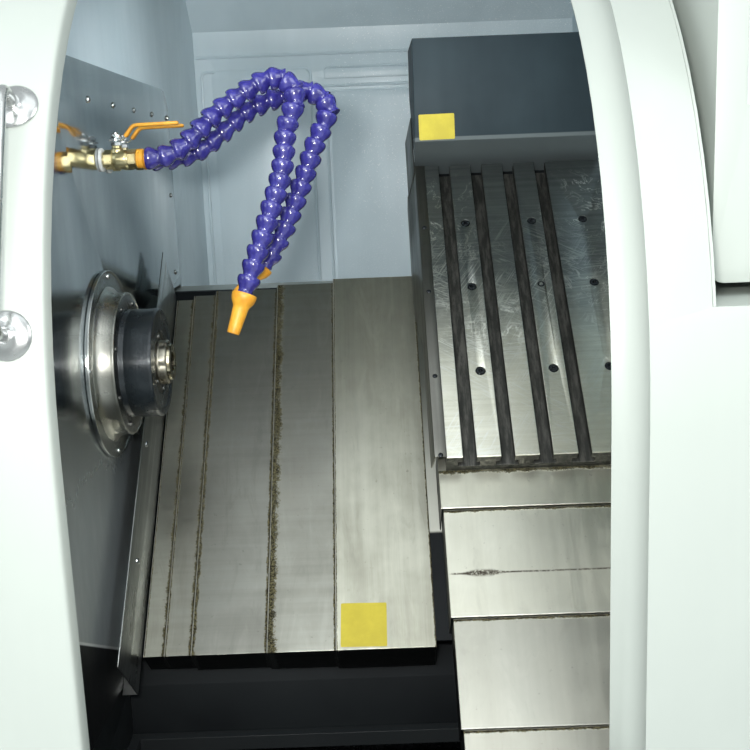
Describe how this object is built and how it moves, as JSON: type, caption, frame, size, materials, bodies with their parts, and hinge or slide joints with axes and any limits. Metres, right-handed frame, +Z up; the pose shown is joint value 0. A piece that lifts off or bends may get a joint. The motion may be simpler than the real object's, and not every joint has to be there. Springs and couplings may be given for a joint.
{
  "type": "cnc turning lathe",
  "caption": "Enclosed slant-bed turning lathe with sliding door, spindle, T-slot tool plate on crossed slides, telescopic way covers and jointed coolant hoses.",
  "frame": {"origin": "on the floor, under the middle of the machine", "axes": "+X along the spindle, away from the headstock; +Y to the rear; +Z up; the operator stands at -Y"},
  "size_m": [1.8, 1.6285, 1.65],
  "materials": {
    "white_paint": "semi-gloss powder coat",
    "pale_blue_paint": "satin paint",
    "hood_paint": "satin dark paint",
    "stainless": "polished sheet",
    "cover_steel": "brushed sheet, worn",
    "ground_steel": "ground",
    "black_steel": "blackened",
    "casting_paint": "painted casting",
    "brass": "machined",
    "orange_plastic": "moulded",
    "blue_plastic": "moulded",
    "chrome": "polished",
    "window_glass": "clear",
    "black_rubber": "moulded",
    "red_plastic": "moulded",
    "green_plastic": "moulded",
    "screen_glass": "glossy"
  },
  "bodies": {
    "machine": {"base_frame": "casting_paint", "front_cover": "white_paint", "left_cover": "white_paint", "right_cover": "white_paint", "rear_cover": "white_paint", "roof_cover": "white_paint", "control_recess": "white_paint", "slant_bed": "casting_paint", "z_motor": "black_steel", "headstock": "casting_paint", "spindle_flange": "ground_steel", "spindle_housing": "black_steel", "spindle_motor": "black_steel", "drive_belt": "black_rubber", "cabin_liner": "pale_blue_paint", "bulkhead": "stainless", "way_guard": "stainless", "z_cover_fixed": "cover_steel", "front_valve": "brass", "rear_valve": "brass", "front_coolant_hose": "blue_plastic", "rear_coolant_hose": "blue_plastic", "control_box": "white_paint", "control_screen": "screen_glass", "electrical_cabinet": "white_paint"},
    "door": {"door_panel": "white_paint", "door_window": "window_glass", "door_handle": "chrome"},
    "saddle": {"saddle": "casting_paint", "x_motor": "black_steel", "z_cover_saddle": "cover_steel", "x_cover_saddle": "cover_steel"},
    "slide": {"x_carriage": "casting_paint", "tool_plate": "ground_steel", "slide_hood": "hood_paint", "side_guard": "cover_steel", "x_cover_plate": "cover_steel"},
    "z_cover_first": {"z_cover_first": "cover_steel"},
    "z_cover_second": {"z_cover_second": "cover_steel"},
    "z_cover_third": {"z_cover_third": "cover_steel"},
    "x_cover_upper": {"x_cover_upper": "cover_steel"},
    "x_cover_lower": {"x_cover_lower": "cover_steel"},
    "spindle": {"spindle_shaft": "ground_steel", "collet": "ground_steel", "spindle_pulley": "ground_steel", "draw_cylinder": "black_steel"},
    "motor_pulley": {"motor_pulley": "ground_steel"},
    "z_ballscrew": {"z_ballscrew": "ground_steel"},
    "x_ballscrew": {"x_ballscrew": "ground_steel"},
    "front_valve_lever": {"front_valve_lever": "orange_plastic"},
    "rear_valve_lever": {"rear_valve_lever": "orange_plastic"},
    "front_nozzle": {"front_nozzle": "orange_plastic"},
    "rear_nozzle": {"rear_nozzle": "orange_plastic"},
    "emergency_stop": {"emergency_stop": "red_plastic"},
    "start_button": {"start_button": "green_plastic"},
    "stop_button": {"stop_button": "red_plastic"},
    "override_knob": {"override_knob": "black_rubber"},
    "cabinet_door": {"cabinet_door": "white_paint"},
    "cabinet_latch": {"cabinet_latch": "black_rubber"},
    "chip_drawer": {"chip_drawer": "white_paint"}
  },
  "joints": [
    {"name": "door_slide", "type": "slide", "parent": "machine", "child": "door", "axis": [1, 0, 0], "range_m": [0, 0.533]},
    {"name": "saddle_slide", "type": "slide", "parent": "machine", "child": "saddle", "axis": [1, 0, 0], "range_m": [-0.2347, 0.02]},
    {"name": "slide_feed", "type": "slide", "parent": "saddle", "child": "slide", "axis": [0, 0.7071, 0.7071], "range_m": [-0.15, 0.03]},
    {"name": "spindle_spin", "type": "hinge", "parent": "machine", "child": "spindle", "pos_m": [0, -0.39003, 1.04968], "axis": [1, 0, 0], "continuous": true},
    {"name": "motor_pulley_spin", "type": "hinge", "parent": "machine", "child": "motor_pulley", "pos_m": [0, 0.33, 0.96], "axis": [1, 0, 0], "continuous": true},
    {"name": "z_ballscrew_spin", "type": "hinge", "parent": "machine", "child": "z_ballscrew", "pos_m": [0, -0.18214, 0.87149], "axis": [1, 0, 0], "range_deg": [-8460, 725]},
    {"name": "x_ballscrew_spin", "type": "hinge", "parent": "saddle", "child": "x_ballscrew", "pos_m": [0.323, -0.34598, 0.85148], "axis": [0, 0.7071, 0.7071], "range_deg": [-5410, 1085]},
    {"name": "z_cover_third_slide", "type": "slide", "parent": "machine", "child": "z_cover_third", "axis": [1, 0, 0], "range_m": [-0.14979, 0.01286]},
    {"name": "z_cover_second_slide", "type": "slide", "parent": "machine", "child": "z_cover_second", "axis": [1, 0, 0], "range_m": [-0.0553, 0.0048]},
    {"name": "z_cover_first_slide", "type": "slide", "parent": "machine", "child": "z_cover_first", "axis": [1, 0, 0], "range_m": [-0.0238, 0.00212]},
    {"name": "x_cover_upper_slide", "type": "slide", "parent": "saddle", "child": "x_cover_upper", "axis": [0, 0.7071, 0.7071], "range_m": [-0.0901, 0.0181]},
    {"name": "x_cover_lower_slide", "type": "slide", "parent": "saddle", "child": "x_cover_lower", "axis": [0, 0.7071, 0.7071], "range_m": [-0.0376, 0.0076]},
    {"name": "front_valve_turn", "type": "hinge", "parent": "machine", "child": "front_valve_lever", "pos_m": [-0.225, -0.35, 1.331], "axis": [0, 0, 1], "range_deg": [-90, 0]},
    {"name": "rear_valve_turn", "type": "hinge", "parent": "machine", "child": "rear_valve_lever", "pos_m": [-0.225, -0.312, 1.321], "axis": [0, 0, 1], "range_deg": [0, 90]},
    {"name": "front_nozzle_swivel", "type": "hinge", "parent": "machine", "child": "front_nozzle", "pos_m": [-0.06675, -0.42302, 1.12954], "axis": [1, 0, 0], "range_deg": [-12, 12]},
    {"name": "rear_nozzle_swivel", "type": "hinge", "parent": "machine", "child": "rear_nozzle", "pos_m": [-0.05156, -0.36608, 1.16099], "axis": [1, 0, 0], "range_deg": [-12, 12]},
    {"name": "emergency_stop_press", "type": "slide", "parent": "machine", "child": "emergency_stop", "axis": [0, 1, 0], "range_m": [0, 0.004], "stiffness_N_per_m": 1500},
    {"name": "start_button_press", "type": "slide", "parent": "machine", "child": "start_button", "axis": [0, 1, 0], "range_m": [0, 0.004], "stiffness_N_per_m": 800},
    {"name": "stop_button_press", "type": "slide", "parent": "machine", "child": "stop_button", "axis": [0, 1, 0], "range_m": [0, 0.004], "stiffness_N_per_m": 800},
    {"name": "override_knob_turn", "type": "hinge", "parent": "machine", "child": "override_knob", "pos_m": [0.8, -0.67, 1.36], "axis": [0, -1, 0], "range_deg": [-135, 135]},
    {"name": "cabinet_door_hinge", "type": "hinge", "parent": "machine", "child": "cabinet_door", "pos_m": [0.784, 0.7985, 0], "axis": [0, 0, 1], "range_deg": [-110, 0]},
    {"name": "cabinet_latch_turn", "type": "hinge", "parent": "cabinet_door", "child": "cabinet_latch", "pos_m": [-0.265, 0.7988, 1.08], "axis": [0, 1, 0], "range_deg": [0, 90]},
    {"name": "chip_drawer_slide", "type": "slide", "parent": "machine", "child": "chip_drawer", "axis": [0, -1, 0], "range_m": [0, 0.45]}
  ],
  "couplings": [
    {"joint": "motor_pulley_spin", "follows": "spindle_spin", "ratio": 1.5556},
    {"joint": "z_ballscrew_spin", "follows": "saddle_slide", "rad_per_m": 628.32},
    {"joint": "x_ballscrew_spin", "follows": "slide_feed", "rad_per_m": 628.32},
    {"joint": "z_cover_third_slide", "follows": "saddle_slide", "ratio": 0.6378},
    {"joint": "z_cover_second_slide", "follows": "saddle_slide", "ratio": 0.2352},
    {"joint": "z_cover_first_slide", "follows": "saddle_slide", "ratio": 0.101},
    {"joint": "x_cover_upper_slide", "follows": "slide_feed", "ratio": 0.6},
    {"joint": "x_cover_lower_slide", "follows": "slide_feed", "ratio": 0.25}
  ]
}
